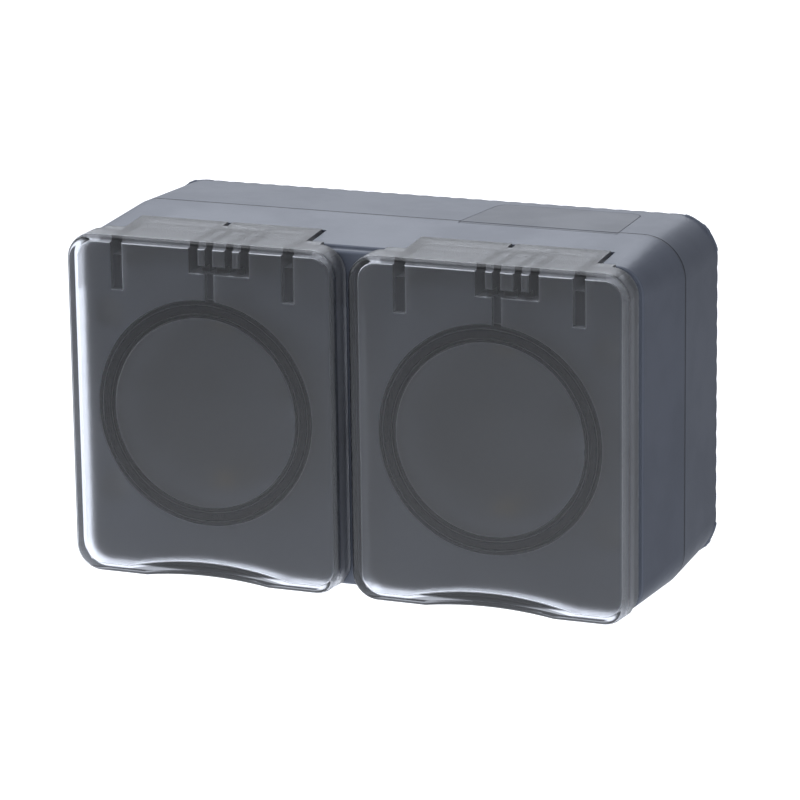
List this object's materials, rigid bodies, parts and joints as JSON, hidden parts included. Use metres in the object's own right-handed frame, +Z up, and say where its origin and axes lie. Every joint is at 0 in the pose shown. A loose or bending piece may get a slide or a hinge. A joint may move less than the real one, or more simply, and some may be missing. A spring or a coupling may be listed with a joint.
{
  "type": "outdoor weatherproof socket",
  "caption": "Surface-mounted weatherproof socket outlet for round plugs, with sprung smoke-tinted lids that hinge up over the wells.",
  "frame": {"origin": "middle of the rear face, which lies on the wall", "axes": "+X to the right seen from the front, +Y into the wall, +Z up; the lids face -Y"},
  "size_m": [0.134, 0.0583, 0.0802],
  "materials": {
    "case": "fine matte moulded grey",
    "entry": "matte moulded grey, slightly warmer than the case",
    "smoke": "frosted smoke translucent",
    "seal": "soft black rubber",
    "cup": "matte moulded dark grey",
    "carrier": "matte black insulating plastic",
    "brass": "stamped brass",
    "steel": "zinc-plated steel",
    "spring": "drawn spring steel"
  },
  "bodies": {
    "housing": {"back_box": "case", "front_housing": "case", "cable_entry_insert": "entry", "housing_gasket": "seal", "left_socket_cup": "cup", "right_socket_cup": "cup", "contact_carrier": "carrier", "line_busbar": "brass", "neutral_busbar": "brass", "left_earth_clip": "brass", "right_earth_clip": "brass", "earth_bar": "brass", "line_terminal": "brass", "neutral_terminal": "brass", "earth_terminal": "brass", "housing_screws": "steel", "cup_screws": "steel", "carrier_screws": "steel", "earth_screws": "steel", "terminal_screws": "steel", "left_hinge_pin": "steel", "right_hinge_pin": "steel", "left_lid_spring": "spring", "right_lid_spring": "spring"},
    "left_lid": {"left_lid": "smoke", "left_lid_gasket": "seal"},
    "right_lid": {"right_lid": "smoke", "right_lid_gasket": "seal"}
  },
  "joints": [
    {"name": "left_lid_hinge", "type": "hinge", "parent": "housing", "child": "left_lid", "pos_m": [-0.03338, -0.0434, 0.03718], "axis": [-1, 0, 0], "range_deg": [0, 95], "stiffness_Nm_per_rad": 0.015, "springref_deg": -57.3, "deforming": ["left_lid_spring"]},
    {"name": "right_lid_hinge", "type": "hinge", "parent": "housing", "child": "right_lid", "pos_m": [0.03338, -0.0434, 0.03718], "axis": [-1, 0, 0], "range_deg": [0, 95], "stiffness_Nm_per_rad": 0.015, "springref_deg": -57.3, "deforming": ["right_lid_spring"]}
  ]
}
